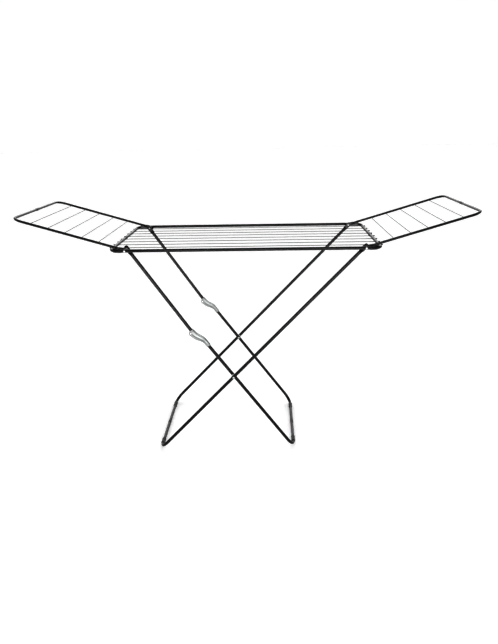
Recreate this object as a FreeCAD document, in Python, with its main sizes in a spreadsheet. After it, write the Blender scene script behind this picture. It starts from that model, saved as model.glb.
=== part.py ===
import FreeCAD, Part
import math
import os

import Sketcher

# Winged clothes airer: a rounded centre frame strung with wires, two folding wings,
# and two U-shaped legs that cross.  The inner leg breaks at a knee, so the legs fold
# flat under the frame.  X runs along the airer, Y across it, Z up from the floor.

V = FreeCAD.Vector
OUT_OF_PLANE = V(0, 1, 0)

doc = FreeCAD.newDocument("airer")
sheet = doc.addObject("Spreadsheet::Sheet", "dims")

DRIVING_DIMENSIONS = [
    # overall places
    ("frame_height", 880.0, "floor to the axis of the centre frame"),
    ("frame_length", 1016.0, "between the axes of the two end bars"),
    ("frame_width", 520.0, "between the axes of the two rails"),
    ("frame_bend", 35.0, "bend radius of the frame's corners, on the axis"),
    ("pivot_inset", 57.0, "axis of an end bar to the pivot pins, along the rail"),
    ("foot_height", 9.0, "floor to the axis of the foot bars"),
    # tubes
    ("frame_radius", 6.0, "outer radius of the frame tube"),
    ("wing_radius", 4.75, "outer radius of the wing tube"),
    ("leg_radius", 6.5, "outer radius of the leg tube"),
    ("tube_wall", 0.9, "wall of every tube"),
    ("coupler_wall", 0.7, "wall of the sleeves that join two tube ends"),
    ("coupler_length", 26.0, "length of the sleeves that join two tube ends"),
    # wires
    ("wire_radius", 1.1, "radius of the drying wires"),
    ("wire_count", 8.0, "wires in the centre frame"),
    ("wire_head_radius", 2.3, "radius of a centre wire's upset head"),
    ("wire_head_length", 8.0, "length of a centre wire's upset head"),
    ("wing_wire_count", 5.0, "wires in each wing"),
    ("wing_wire_first", 107.0, "pivot pin to the first wing wire"),
    ("wing_wire_last", 67.0, "last wing wire to the axis of the tip bar"),
    # wings
    ("wing_reach", 434.0, "pivot pin to the axis of a wing's tip bar"),
    ("wing_room", 2.0, "between a rail and the wing's side beside it"),
    ("wing_bend", 38.0, "bend radius of a wing's corners, on the axis"),
    ("wing_angle", 16.5, "rise of an open wing, degrees"),
    # legs
    ("outer_leg_room", 1.5, "between a wing's side and the outer leg beside it"),
    ("crossing_room", 4.5, "between the two legs where they cross"),
    ("leg_bend", 45.0, "bend radius of the legs' corners, on the axis"),
    ("outer_foot_x", 379.5, "outer leg's foot bar, to the left of the centre"),
    ("inner_foot_x", 190.5, "inner leg's foot bar, to the right of the centre"),
    ("inner_angle", 55.9, "slope of the inner leg's upper part, degrees"),
    # knee of the inner leg
    ("knee_station", 414.7, "left pivot pin to the knee pin, along the leg"),
    ("knee_drop", 9.0, "upper tube's axis to the knee pin"),
    ("knee_step", 16.0, "upper tube's axis to the lower tube's axis"),
    ("knee_lead", 10.7, "length of the knee bracket above the knee pin"),
    ("yoke_lead", 5.0, "length of the knee yoke above the knee pin"),
    ("yoke_length", 84.0, "knee pin to the lower end of the knee yoke"),
    ("yoke_grip", 24.0, "length of lower tube held in the knee yoke"),
    ("sheet_thickness", 1.2, "pressed sheet of the knee bracket and yoke"),
    ("knee_pin_radius", 2.2, "radius of the knee pin"),
    ("knee_head_radius", 3.5, "radius of the knee pin's heads"),
    ("knee_head_height", 0.95, "height of the knee pin's heads"),
    ("knee_eye_radius", 5.6, "radius of the sheet round the knee pin"),
    # pins, rivets and fits
    ("pin_radius", 2.5, "radius of the pivot pins and crossing rivets"),
    ("pin_head_radius", 4.6, "radius of the domed rivet heads"),
    ("pin_head_height", 2.6, "height of the domed rivet heads"),
    ("spacer_radius", 5.5, "outer radius of the pivot spacers"),
    ("crossing_spacer_radius", 8.5, "outer radius of the crossing spacers"),
    ("fit", 0.05, "radial clearance of a running fit"),
    ("side_play", 0.15, "clearance between faces that turn on each other"),
    ("layer_gap", 0.3, "clearance between the sheet layers of the knee"),
    # flattened tube ends
    ("tab_thickness", 2.4, "thickness of a flattened tube end"),
    ("leg_tab_width", 18.0, "width of a leg's flattened end"),
    ("wing_tab_width", 14.0, "width of a wing's flattened end"),
    ("tab_tip", 13.0, "pin to the tip of a flattened end"),
    ("tab_length", 14.0, "pin to the start of the round tube's taper"),
    ("tab_taper", 16.0, "length of the taper from flat to round"),
    # plastic pieces
    ("foot_radius", 8.6, "radius of the foot sleeves"),
    ("foot_length", 36.0, "length of the foot sleeves"),
    ("foot_sole_width", 13.0, "width of the foot sleeves' flat sole"),
    ("rest_wall", 1.5, "wall of the wing rests under the rail"),
    ("rest_start", 12.0, "pivot pin to the near end of a wing rest"),
    ("rest_end", 46.0, "pivot pin to the far end of a wing rest"),
    ("rest_width", 10.5, "width of a wing rest under the wing"),
    ("rest_drop", 1.5, "axis of the open wing's side to the top of a wing rest"),
]

WORKED_OUT_DIMENSIONS = [
    ("pivot_span", "=frame_length - 2 * pivot_inset", "between the left and the right pivot pins"),
    ("wing_half_width", "=frame_width / 2 - frame_radius - wing_room - wing_radius",
     "centre plane to the axis of a wing's side"),
    ("outer_half_width", "=wing_half_width - wing_radius - outer_leg_room - leg_radius",
     "centre plane to the axis of the outer leg"),
    ("inner_half_width", "=outer_half_width - crossing_room - 2 * leg_radius",
     "centre plane to the axis of the inner leg"),
    ("wing_wire_pitch", "=(wing_reach - wing_wire_first - wing_wire_last) / (wing_wire_count - 1)",
     "from one wing wire to the next"),
]


def sheet_row(alias, content, note):
    """One more row of the sheet: the name, its number or formula, and what it is."""
    sheet_rows.append(alias)
    row = len(sheet_rows)
    sheet.set("A%d" % row, alias)
    sheet.set("B%d" % row, content)
    sheet.set("C%d" % row, note)
    sheet.setAlias("B%d" % row, alias)


sheet_rows = []
for dimension, size_mm, meaning in DRIVING_DIMENSIONS:
    sheet_row(dimension, "%g" % size_mm, meaning)
for dimension, formula, meaning in WORKED_OUT_DIMENSIONS:
    sheet_row(dimension, formula, meaning)
doc.recompute()


class Size:
    """A length that knows its number and the sheet expression that gives it."""

    def __init__(self, value, text):
        self.value = float(value)
        self.text = text

    def combined(self, other, sign, value):
        other_text = other.text if isinstance(other, Size) else "%g" % other
        return Size(value, "(%s %s %s)" % (self.text, sign, other_text))

    def __add__(self, other):
        return self.combined(other, "+", self.value + float(other))

    def __sub__(self, other):
        return self.combined(other, "-", self.value - float(other))

    def __mul__(self, other):
        return self.combined(other, "*", self.value * float(other))

    def __truediv__(self, other):
        return self.combined(other, "/", self.value / float(other))

    def __float__(self):
        return self.value


class Dimensions:
    """The sheet's cells, read as Size objects by their alias."""

    def __getattr__(self, alias):
        return Size(sheet.get(alias), "dims." + alias)


d = Dimensions()


def bind(thing, name, size):
    """Tie a property of an object to the sheet."""
    setattr(thing, name, size.value)
    thing.setExpression(name, size.text)


# ---------------------------------------------------------------- sketch helpers

def new_body(label):
    body = doc.addObject("PartDesign::Body", label)
    body.Label = label
    return body


def new_sketch(body, name, role, offset=None):
    """A sketch on one of the body's own origin planes, moved along its normal."""
    sketch = body.newObject("Sketcher::SketchObject", name)
    plane = [item for item in body.Origin.OriginFeatures if item.Role == role][0]
    sketch.AttachmentSupport = [(plane, "")]
    sketch.MapMode = "FlatFace"
    if offset is not None:
        sketch.AttachmentOffset = FreeCAD.Placement(V(0, 0, offset.value), FreeCAD.Rotation())
        sketch.setExpression("AttachmentOffset.Base.z", offset.text)
    return sketch


def hold(sketch, kind, *places, size=None):
    """Add a constraint and, where it has a size, tie it to the sheet."""
    if size is None:
        return sketch.addConstraint(Sketcher.Constraint(kind, *places))
    index = sketch.addConstraint(Sketcher.Constraint(kind, *places, size.value))
    sketch.setExpression("Constraints[%d]" % index, size.text)
    return index


def hold_point(sketch, geometry, end, x, y):
    """Fix a point by two signed offsets; each is (sign, Size), or None on the axis."""
    for kind, axis, place in (("DistanceX", -2, x), ("DistanceY", -1, y)):
        if place is None:
            hold(sketch, "PointOnObject", geometry, end, axis)
            continue
        sign, size = place
        if sign > 0:
            hold(sketch, kind, -1, 1, geometry, end, size=size)
        else:
            hold(sketch, kind, geometry, end, -1, 1, size=size)


def number(place):
    return 0.0 if place is None else place[0] * place[1].value


def circle(sketch, radius, x=None, y=None):
    middle = V(number(x), number(y), 0)
    index = sketch.addGeometry(Part.Circle(middle, V(0, 0, 1), radius.value), False)
    hold(sketch, "Radius", index, size=radius)
    if x is None and y is None:
        hold(sketch, "Coincident", index, 3, -1, 1)
    else:
        hold_point(sketch, index, 3, x, y)
    return index


def outline(sketch, corners):
    """A closed polygon whose corners are each fixed by two signed offsets."""
    points = [V(number(x), number(y), 0) for x, y in corners]
    lines = []
    for i, point in enumerate(points):
        following = points[(i + 1) % len(points)]
        lines.append(sketch.addGeometry(Part.LineSegment(point, following), False))
    for i, line in enumerate(lines):
        hold(sketch, "Coincident", line, 2, lines[(i + 1) % len(lines)], 1)
        hold_point(sketch, line, 1, *corners[i])
    return lines


def plus(size):
    return (1, size)


def minus(size):
    return (-1, size)


def feature(body, kind, name, profile, **settings):
    item = body.newObject("PartDesign::" + kind, name)
    item.Profile = (profile, [""])
    for key, value in settings.items():
        if isinstance(value, Size):
            bind(item, key, value)
        else:
            setattr(item, key, value)
    doc.recompute()
    body.Tip = item
    return item


def cut(body, name, profile, **settings):
    """A pocket that must take material away."""
    before = body.Shape.Volume
    item = feature(body, "Pocket", name, profile, **settings)
    if not body.Shape.Volume < before - 1e-6:
        raise RuntimeError("%s of %s removes nothing" % (name, body.Label))
    return item


def sweep(body, name, profile, path):
    pipe = body.newObject("PartDesign::AdditivePipe", name)
    pipe.Profile = (profile, [""])
    pipe.Spine = (path, ["Edge%d" % (i + 1) for i in range(path.GeometryCount)])
    doc.recompute()
    body.Tip = pipe
    return pipe


def turned(label, steps):
    """A body of revolution about its X axis: steps are (start, end, radius)."""
    body = new_body(label)
    sketch = new_sketch(body, "section", "XY_Plane")
    corners = [(steps[0][0], None)]
    for start, end, radius in steps:
        corners.append((start, plus(radius)))
        corners.append((end, plus(radius)))
    corners.append((steps[-1][1], None))
    outline(sketch, corners)
    doc.recompute()
    axis = [item for item in body.Origin.OriginFeatures if item.Role == "X_Axis"][0]
    feature(body, "Revolution", "turn", sketch, ReferenceAxis=(axis, [""]), Angle=360.0)
    return body


def along_slope(start, angle):
    """Placement whose X axis leaves start at angle below the horizontal, in XZ."""
    return FreeCAD.Placement(start, FreeCAD.Rotation(OUT_OF_PLANE, angle))


# ---------------------------------------------------------------- tubes

def ring_profile(sketch, outer, x=None, y=None):
    circle(sketch, outer, x, y)
    circle(sketch, outer - d.tube_wall, x, y)


def hook_path(sketch, side, start, reach, half_width, bend):
    """Along the side from start, round the corner and in to the centre plane."""
    y = side * half_width.value
    turn_y = side * (half_width.value - bend.value)
    turn_x = reach.value - bend.value
    run = sketch.addGeometry(Part.LineSegment(V(start.value, y, 0), V(turn_x, y, 0)), False)
    bend_circle = Part.Circle(V(turn_x, turn_y, 0), V(0, 0, 1), bend.value)
    angles = (-math.pi / 2, 0) if side < 0 else (0, math.pi / 2)
    corner = sketch.addGeometry(Part.ArcOfCircle(bend_circle, *angles), False)
    bar = sketch.addGeometry(Part.LineSegment(V(reach.value, turn_y, 0), V(reach.value, 0, 0)), False)
    run_end, bar_end = (1, 2) if side < 0 else (2, 1)
    hold(sketch, "Tangent", run, 2, corner, run_end)
    hold(sketch, "Tangent", corner, bar_end, bar, 1)
    hold(sketch, "Horizontal", run)
    hold(sketch, "Radius", corner, size=bend)
    hold_point(sketch, run, 1, plus(start), (side, half_width))
    hold_point(sketch, bar, 2, plus(reach), None)
    hold(sketch, "Vertical", bar)


def flattened_end(body, side, half_width, tube_radius, tab_width):
    """Taper from the round tube to a flat tab with a rounded tip and a pin hole."""
    tube_start = d.tab_length + d.tab_taper
    round_section = new_sketch(body, "round_section", "YZ_Plane", tube_start)
    circle(round_section, tube_radius, (side, half_width), None)
    flat_section = new_sketch(body, "flat_section", "YZ_Plane", d.tab_length)
    near = (side, half_width - d.tab_thickness / 2)
    far = (side, half_width + d.tab_thickness / 2)
    half_tab = tab_width / 2
    outline(flat_section, [(near, minus(half_tab)), (far, minus(half_tab)),
                           (far, plus(half_tab)), (near, plus(half_tab))])
    doc.recompute()
    taper = body.newObject("PartDesign::AdditiveLoft", "taper")
    taper.Profile = (round_section, [""])
    taper.Sections = [(flat_section, [""])]
    taper.Ruled = True
    doc.recompute()
    body.Tip = taper

    tab_sketch = new_sketch(body, "tab_outline", "XZ_Plane", None)
    tip_centre = d.tab_tip - half_tab
    arc = Part.ArcOfCircle(Part.Circle(V(-tip_centre.value, 0, 0), V(0, 0, 1), half_tab.value),
                           math.pi / 2, 3 * math.pi / 2)
    tip = tab_sketch.addGeometry(arc, False)
    corners = [V(-tip_centre.value, -half_tab.value, 0), V(float(d.tab_length), -half_tab.value, 0),
               V(float(d.tab_length), half_tab.value, 0), V(-tip_centre.value, half_tab.value, 0)]
    low, end, top = [tab_sketch.addGeometry(Part.LineSegment(corners[i], corners[i + 1]), False)
                     for i in range(3)]
    hold(tab_sketch, "Tangent", tip, 2, low, 1)
    hold(tab_sketch, "Coincident", low, 2, end, 1)
    hold(tab_sketch, "Coincident", end, 2, top, 1)
    hold(tab_sketch, "Tangent", top, 2, tip, 1)
    hold(tab_sketch, "Horizontal", low)
    hold(tab_sketch, "Vertical", end)
    hold(tab_sketch, "Radius", tip, size=half_tab)
    hold_point(tab_sketch, tip, 3, minus(tip_centre), None)
    hold(tab_sketch, "DistanceX", -1, 1, end, 1, size=d.tab_length)
    shift_along_y(tab_sketch, side, half_width)
    doc.recompute()
    feature(body, "Pad", "tab", tab_sketch, Length=d.tab_thickness, Midplane=True)

    hole = new_sketch(body, "pin_hole", "XZ_Plane", None)
    circle(hole, d.pin_radius + d.fit)
    doc.recompute()
    cut(body, "pin_bore", hole, Type="ThroughAll", Midplane=True)


def shift_along_y(sketch, side, distance):
    """Move a sketch on the XZ plane, whose normal is -Y, to Y = side * distance."""
    sketch.AttachmentOffset = FreeCAD.Placement(V(0, 0, -side * distance.value), FreeCAD.Rotation())
    sign = "-" if side > 0 else ""
    sketch.setExpression("AttachmentOffset.Base.z", "%s%s" % (sign, distance.text))


def hooked_tube(label, side, start, reach, half_width, bend, radius, placement):
    """One half of a U: a side, a corner and half of the cross bar."""
    body = new_body(label)
    path = new_sketch(body, "path", "XY_Plane")
    hook_path(path, side, start, reach, half_width, bend)
    profile = new_sketch(body, "profile", "YZ_Plane", start)
    ring_profile(profile, radius, (side, half_width), None)
    doc.recompute()
    sweep(body, "tube", profile, path)
    body.Placement = placement
    return body


def drill_across(body, name, stations, radius):
    """Holes right through, along Y, at stations along the body's X axis."""
    sketch = new_sketch(body, name + "_sketch", "XZ_Plane")
    for x, y in stations:
        circle(sketch, radius, x, y)
    doc.recompute()
    return cut(body, name, sketch, Type="ThroughAll", Midplane=True)


def coupler(label, tube_radius, placement):
    """The sleeve over a joint between two tube ends, centred on its own Y axis."""
    body = new_body(label)
    sketch = new_sketch(body, "section", "XZ_Plane")
    circle(sketch, tube_radius + d.coupler_wall + d.fit)
    circle(sketch, tube_radius + d.fit)
    doc.recompute()
    feature(body, "Pad", "sleeve", sketch, Length=d.coupler_length, Midplane=True)
    body.Placement = placement
    return body


# ---------------------------------------------------------------- centre frame

SIDES = (("front", -1), ("rear", 1))
ENDS = (("left", -1), ("right", 1))
frame_z = float(d.frame_height)
pin_x = float(d.pivot_span) / 2
wire_pitch = d.frame_width / (d.wire_count + 1)


def wire_offset(index):
    """Distance from the centre plane to a wire, counted outwards from the middle."""
    return wire_pitch * (index + 0.5)


def frame_tube(label, side):
    """Half of the frame: half an end bar, a corner, a rail, a corner, half an end bar."""
    body = new_body(label)
    half_length = d.frame_length / 2
    half_width = d.frame_width / 2
    bend = float(d.frame_bend)
    reach, y = half_length.value, side * half_width.value
    turn_x, turn_y = reach - bend, side * (half_width.value - bend)
    path = new_sketch(body, "path", "XY_Plane")

    def straight(start, end):
        return path.addGeometry(Part.LineSegment(V(*start, 0), V(*end, 0)), False)

    def corner(x, first_angle):
        circle_of_bend = Part.Circle(V(x, turn_y, 0), V(0, 0, 1), bend)
        arc = Part.ArcOfCircle(circle_of_bend, first_angle, first_angle + math.pi / 2)
        return path.addGeometry(arc, False)

    first = straight((-reach, 0), (-reach, turn_y))
    left_corner = corner(-turn_x, math.pi if side < 0 else math.pi / 2)
    rail = straight((-turn_x, y), (turn_x, y))
    right_corner = corner(turn_x, -math.pi / 2 if side < 0 else 0)
    last = straight((reach, turn_y), (reach, 0))
    into_corner, out_of_corner = (1, 2) if side < 0 else (2, 1)
    for before, bent, after in ((first, left_corner, rail), (rail, right_corner, last)):
        hold(path, "Tangent", before, 2, bent, into_corner)
        hold(path, "Tangent", bent, out_of_corner, after, 1)
        hold(path, "Radius", bent, size=d.frame_bend)
    hold(path, "Vertical", first)
    hold(path, "Horizontal", rail)
    hold(path, "Vertical", last)
    hold_point(path, first, 1, minus(half_length), None)
    hold_point(path, last, 2, plus(half_length), None)
    if side > 0:
        hold(path, "DistanceY", -1, 1, rail, 1, size=half_width)
    else:
        hold(path, "DistanceY", rail, 1, -1, 1, size=half_width)
    profile = new_sketch(body, "profile", "XZ_Plane")
    ring_profile(profile, d.frame_radius, minus(half_length), None)
    doc.recompute()
    sweep(body, "tube", profile, path)

    holes = new_sketch(body, "wire_holes", "YZ_Plane")
    for index in range(int(float(d.wire_count)) // 2):
        circle(holes, d.wire_radius + d.fit, (side, wire_offset(index)), None)
    doc.recompute()
    cut(body, "wire_bores", holes, Type="ThroughAll", Midplane=True)
    half_span = d.pivot_span / 2
    pins = [(minus(half_span), None), (plus(half_span), None)]
    drill_across(body, "pin_bores", pins, d.pin_radius + d.fit)
    body.Placement = FreeCAD.Placement(V(0, 0, frame_z), FreeCAD.Rotation())
    return body


def centre_wire(label, y):
    """A straight wire through both end bars, with an upset head outside each."""
    inner = d.frame_length / 2 + d.frame_radius
    outer = inner + d.wire_head_length
    body = turned(label, [
        (minus(outer), minus(inner), d.wire_head_radius),
        (minus(inner), plus(inner), d.wire_radius),
        (plus(inner), plus(outer), d.wire_head_radius),
    ])
    body.Placement = FreeCAD.Placement(V(0, y, frame_z), FreeCAD.Rotation())
    return body


for side_name, side in SIDES:
    frame_tube(side_name + "_frame_tube", side)

for end_name, end in ENDS:
    coupler(end_name + "_frame_coupler", d.frame_radius,
            FreeCAD.Placement(V(end * float(d.frame_length) / 2, 0, frame_z), FreeCAD.Rotation()))

wire_total = int(float(d.wire_count))
for number_from_front in range(wire_total):
    wire_y = float(wire_pitch) * (number_from_front + 0.5 - wire_total / 2)
    centre_wire("centre_wire_%d" % (number_from_front + 1), wire_y)


# ---------------------------------------------------------------- pivot pins and spacers

# shares of a rivet head's height and radius where its outline turns
DOME_SHOULDER_RISE = 0.45
DOME_SHOULDER_SHARE = 0.9
DOME_TOP_SHARE = 0.45
PEENED_RISE = 0.7
PEENED_SHOULDER_RISE = 0.25
PEENED_SHARE = 0.87
PEENED_TOP_SHARE = 0.7
STEPPED_RISE = 0.5
STEPPED_SHARE = 0.7


def pivot_stack(end):
    """Inner end of the pin at this end of the frame, and the leg that it carries."""
    return d.inner_half_width if end < 0 else d.outer_half_width


def pivot_pin(label, end, side):
    """A rivet through rail, wing and leg, domed outside and peened inside."""
    outer_face = d.frame_width / 2 + d.frame_radius
    leg_face = pivot_stack(end) - d.tab_thickness / 2 - d.side_play
    body = new_body(label)
    sketch = new_sketch(body, "section", "XY_Plane")
    shoulder = outer_face + d.pin_head_height * DOME_SHOULDER_RISE
    peened_radius = d.pin_head_radius * PEENED_SHARE
    peened_shoulder = leg_face - d.pin_head_height * PEENED_SHOULDER_RISE
    inner_end = leg_face - d.pin_head_height * PEENED_RISE
    outer_end = outer_face + d.pin_head_height
    outline(sketch, [
        (plus(inner_end), None), (plus(inner_end), plus(peened_radius * PEENED_TOP_SHARE)),
        (plus(peened_shoulder), plus(peened_radius)), (plus(leg_face), plus(peened_radius)),
        (plus(leg_face), plus(d.pin_radius)), (plus(outer_face), plus(d.pin_radius)),
        (plus(outer_face), plus(d.pin_head_radius)),
        (plus(shoulder), plus(d.pin_head_radius * DOME_SHOULDER_SHARE)),
        (plus(outer_end), plus(d.pin_head_radius * DOME_TOP_SHARE)), (plus(outer_end), None),
    ])
    doc.recompute()
    axis = [item for item in body.Origin.OriginFeatures if item.Role == "X_Axis"][0]
    feature(body, "Revolution", "turn", sketch, ReferenceAxis=(axis, [""]), Angle=360.0)
    body.Placement = FreeCAD.Placement(V(end * pin_x, 0, frame_z), FreeCAD.Rotation(V(0, 0, 1), side * 90))
    return body


def ring(name, outer, bore, from_y, to_y, side, x, z):
    """A plain ring about an axis along Y, between two distances from the centre plane."""
    solids = []
    for suffix, radius in (("_outside", outer), ("_bore", bore)):
        cylinder = doc.addObject("Part::Cylinder", name + suffix)
        bind(cylinder, "Radius", radius)
        bind(cylinder, "Height", to_y - from_y)
        cylinder.Placement = FreeCAD.Placement(V(x, side * from_y.value, z),
                                               FreeCAD.Rotation(V(1, 0, 0), -side * 90))
        solids.append(cylinder)
    ringed = doc.addObject("Part::Cut", name)
    ringed.Base, ringed.Tool = solids
    return ringed


def group(label, members):
    """Identical loose pieces kept as separate solids of one sub-part."""
    compound = doc.addObject("Part::Compound", label)
    compound.Label = label
    compound.Links = members
    return compound


spacers = []
for end_name, end in ENDS:
    for side_name, side in SIDES:
        pivot_pin("pivot_pin_%s_%s" % (side_name, end_name), end, side)
        wing_face = d.tab_thickness / 2 + d.side_play
        bore = d.pin_radius + d.fit
        place = (side, end * pin_x, frame_z)
        spacers.append(ring("wing_spacer_%s_%s" % (side_name, end_name), d.spacer_radius, bore,
                            d.wing_half_width + wing_face, d.frame_width / 2 - d.frame_radius, *place))
        spacers.append(ring("leg_spacer_%s_%s" % (side_name, end_name), d.spacer_radius, bore,
                            pivot_stack(end) + wing_face, d.wing_half_width - wing_face, *place))
group("pivot_spacers", spacers)


# ---------------------------------------------------------------- wings

def wing_placement(end):
    angle = float(d.wing_angle)
    return along_slope(V(end * pin_x, 0, frame_z), -angle if end > 0 else 180 + angle)


def wing_wire_station(index):
    return d.wing_wire_first + d.wing_wire_pitch * index


def wing_tube(label, end, side):
    start = d.tab_length + d.tab_taper
    body = hooked_tube(label, side, start, d.wing_reach, d.wing_half_width, d.wing_bend, d.wing_radius,
                       wing_placement(end))
    flattened_end(body, side, d.wing_half_width, d.wing_radius, d.wing_tab_width)
    holes = new_sketch(body, "wire_holes", "XZ_Plane")
    for index in range(int(float(d.wing_wire_count))):
        circle(holes, d.wire_radius + d.fit, plus(wing_wire_station(index)), None)
    doc.recompute()
    cut(body, "wire_bores", holes, Length=d.wing_half_width, Reversed=(side < 0))
    return body


def wing_wire(label, end, index):
    """A straight wire whose ends sit in the inner walls of the wing's two sides."""
    body = new_body(label)
    sketch = new_sketch(body, "section", "XZ_Plane")
    circle(sketch, d.wire_radius, plus(wing_wire_station(index)), None)
    doc.recompute()
    feature(body, "Pad", "wire", sketch, Length=(d.wing_half_width - d.wing_radius / 2) * 2, Midplane=True)
    body.Placement = wing_placement(end)
    return body


for end_name, end in ENDS:
    for side_name, side in SIDES:
        wing_tube("%s_wing_%s_tube" % (end_name, side_name), end, side)
    tip = wing_placement(end).multVec(V(float(d.wing_reach), 0, 0))
    coupler(end_name + "_wing_coupler", d.wing_radius, FreeCAD.Placement(tip, FreeCAD.Rotation()))
    for index in range(int(float(d.wing_wire_count))):
        wing_wire("%s_wing_wire_%d" % (end_name, index + 1), end, index)


# ---------------------------------------------------------------- wing rests

def wing_rest(label, end, side):
    """A moulded wedge inside the rail's corner: it cups the rail and carries the open wing."""
    rail_y = float(d.frame_width) / 2
    rail_r = float(d.frame_radius) + float(d.fit)
    bend = float(d.frame_bend)
    corner_x = float(d.frame_length) / 2 - bend
    start_x = pin_x + float(d.rest_start)
    end_x = pin_x + float(d.rest_end)
    rise = math.radians(float(d.wing_angle))
    wing_y = float(d.wing_half_width)
    inside = wing_y - float(d.rest_width) / 2
    low = -rail_r - float(d.rest_wall)
    high = math.tan(rise) * (end_x - pin_x)

    def block(from_x, to_x):
        return Part.makeBox(to_x - from_x, rail_y - inside, high - low, V(from_x, -rail_y, low))

    corner_centre = V(corner_x, bend - rail_y, 0)
    inside_bend = Part.makeCylinder(bend, high - low, corner_centre + V(0, 0, low))
    rounded_end = block(corner_x, end_x).common(inside_bend)
    straight_rail = Part.makeCylinder(rail_r, corner_x - pin_x, V(pin_x, -rail_y, 0), V(1, 0, 0))
    bent_rail = Part.makeTorus(bend, rail_r, corner_centre)

    along = V(math.cos(rise), 0, math.sin(rise))
    behind = 2 * float(d.tab_tip)
    wing_start = V(pin_x, -wing_y, 0) - along * behind
    wing_side = Part.makeCylinder(float(d.wing_radius) + float(d.layer_gap), float(d.wing_reach),
                                  wing_start, along)
    tab_r = float(d.wing_tab_width) / 2 + float(d.layer_gap)
    tab = Part.makeCylinder(tab_r, behind + float(d.tab_length) + float(d.tab_taper), wing_start, along)
    tip_room = Part.makeCylinder(float(d.tab_tip) + float(d.layer_gap),
                                 float(d.rest_width) / 2 + float(d.tab_thickness),
                                 V(pin_x, -wing_y - float(d.tab_thickness), 0), OUT_OF_PLANE)
    aside = float(d.wing_bend)
    above = Part.makeBox(float(d.wing_reach), 2 * aside, aside, V(-behind, -aside, -float(d.rest_drop)))
    above.Placement = FreeCAD.Placement(V(pin_x, -wing_y, 0),
                                        FreeCAD.Rotation(OUT_OF_PLANE, -float(d.wing_angle)))
    body = block(start_x, corner_x).fuse(rounded_end)
    body = body.cut([straight_rail, bent_rail, wing_side, tab, tip_room, above]).removeSplitter()
    if end < 0:
        body = body.mirror(V(0, 0, 0), V(1, 0, 0))
    if side > 0:
        body = body.mirror(V(0, 0, 0), V(0, 1, 0))
    rest = doc.addObject("Part::Feature", label)
    rest.Label = label
    rest.Shape = max(body.Solids, key=lambda item: item.Volume)
    rest.Placement = FreeCAD.Placement(V(0, 0, frame_z), FreeCAD.Rotation())
    return rest


for end_name, end in ENDS:
    for side_name, side in SIDES:
        wing_rest("wing_rest_%s_%s" % (side_name, end_name), end, side)


# ---------------------------------------------------------------- where the legs run

left_pin = V(-pin_x, 0, frame_z)
right_pin = V(pin_x, 0, frame_z)
foot_z = float(d.foot_height)
outer_foot = V(-float(d.outer_foot_x), 0, foot_z)
inner_foot = V(float(d.inner_foot_x), 0, foot_z)

slope = math.radians(float(d.inner_angle))
upper_way = V(math.cos(slope), 0, -math.sin(slope))
upper_side = V(math.sin(slope), 0, math.cos(slope))
knee_pin_place = left_pin + upper_way * float(d.knee_station) - upper_side * float(d.knee_drop)
step_place = left_pin + upper_way * float(d.knee_station) + upper_side * float(d.knee_step)
lower_run = inner_foot - step_place
lower_angle = math.degrees(math.atan2(-lower_run.z, lower_run.x))
outer_run = outer_foot - right_pin
outer_angle = math.degrees(math.atan2(-outer_run.z, outer_run.x))


def crossing_place():
    """Where the inner leg's lower axis meets the outer leg's axis."""
    lower_way = V(lower_run).normalize()
    outer_way = V(outer_run).normalize()
    gap = right_pin - step_place
    determinant = lower_way.x * -outer_way.z + outer_way.x * lower_way.z
    travel = (gap.x * -outer_way.z + outer_way.x * gap.z) / determinant
    return step_place + lower_way * travel


crossing = crossing_place()


def measured_cell(alias, value, note):
    """A length measured between two places, put in the sheet for features to use."""
    sheet_row(alias, "%.6f" % value, note)
    measured.append(alias)
    doc.recompute()


measured = []
measured_cell("outer_leg_reach", outer_run.Length, "right pivot pin to the outer leg's foot bar")
measured_cell("lower_leg_reach", lower_run.Length, "knee step to the inner leg's foot bar")
measured_cell("outer_crossing", (crossing - right_pin).Length, "right pivot pin to the crossing rivet")
measured_cell("lower_crossing", (crossing - step_place).Length, "knee step to the crossing rivet")


# ---------------------------------------------------------------- feet

def foot_sleeve(label, side, half_width, foot):
    """A moulded sleeve on the foot bar, just inside the bend, with a flat sole."""
    body = new_body(label)
    sketch = new_sketch(body, "section", "XZ_Plane")
    radius = float(d.foot_radius)
    half_sole = float(d.foot_sole_width) / 2
    drop = -math.sqrt(radius ** 2 - half_sole ** 2)
    start_angle = math.atan2(drop, half_sole)
    arc = Part.ArcOfCircle(Part.Circle(V(0, 0, 0), V(0, 0, 1), radius), start_angle, math.pi - start_angle)
    crown = sketch.addGeometry(arc, False)
    points = [V(-half_sole, drop, 0), V(-half_sole, -foot_z, 0),
              V(half_sole, -foot_z, 0), V(half_sole, drop, 0)]
    left, sole, right = [sketch.addGeometry(Part.LineSegment(points[i], points[i + 1]), False)
                         for i in range(3)]
    for first, first_end, second, second_end in ((crown, 2, left, 1), (left, 2, sole, 1),
                                                 (sole, 2, right, 1), (right, 2, crown, 1)):
        hold(sketch, "Coincident", first, first_end, second, second_end)
    hold(sketch, "Coincident", crown, 3, -1, 1)
    hold(sketch, "Radius", crown, size=d.foot_radius)
    hold(sketch, "Vertical", left)
    hold(sketch, "Vertical", right)
    hold_point(sketch, sole, 1, minus(d.foot_sole_width / 2), minus(d.foot_height))
    hold_point(sketch, sole, 2, plus(d.foot_sole_width / 2), minus(d.foot_height))
    circle(sketch, d.leg_radius + d.fit)
    doc.recompute()
    feature(body, "Pad", "sleeve", sketch, Length=d.foot_length, Midplane=True)
    centre_y = half_width.value - float(d.leg_bend) - float(d.foot_length) / 2
    body.Placement = FreeCAD.Placement(foot + V(0, side * centre_y, 0), FreeCAD.Rotation())
    return body


# ---------------------------------------------------------------- outer leg

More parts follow.
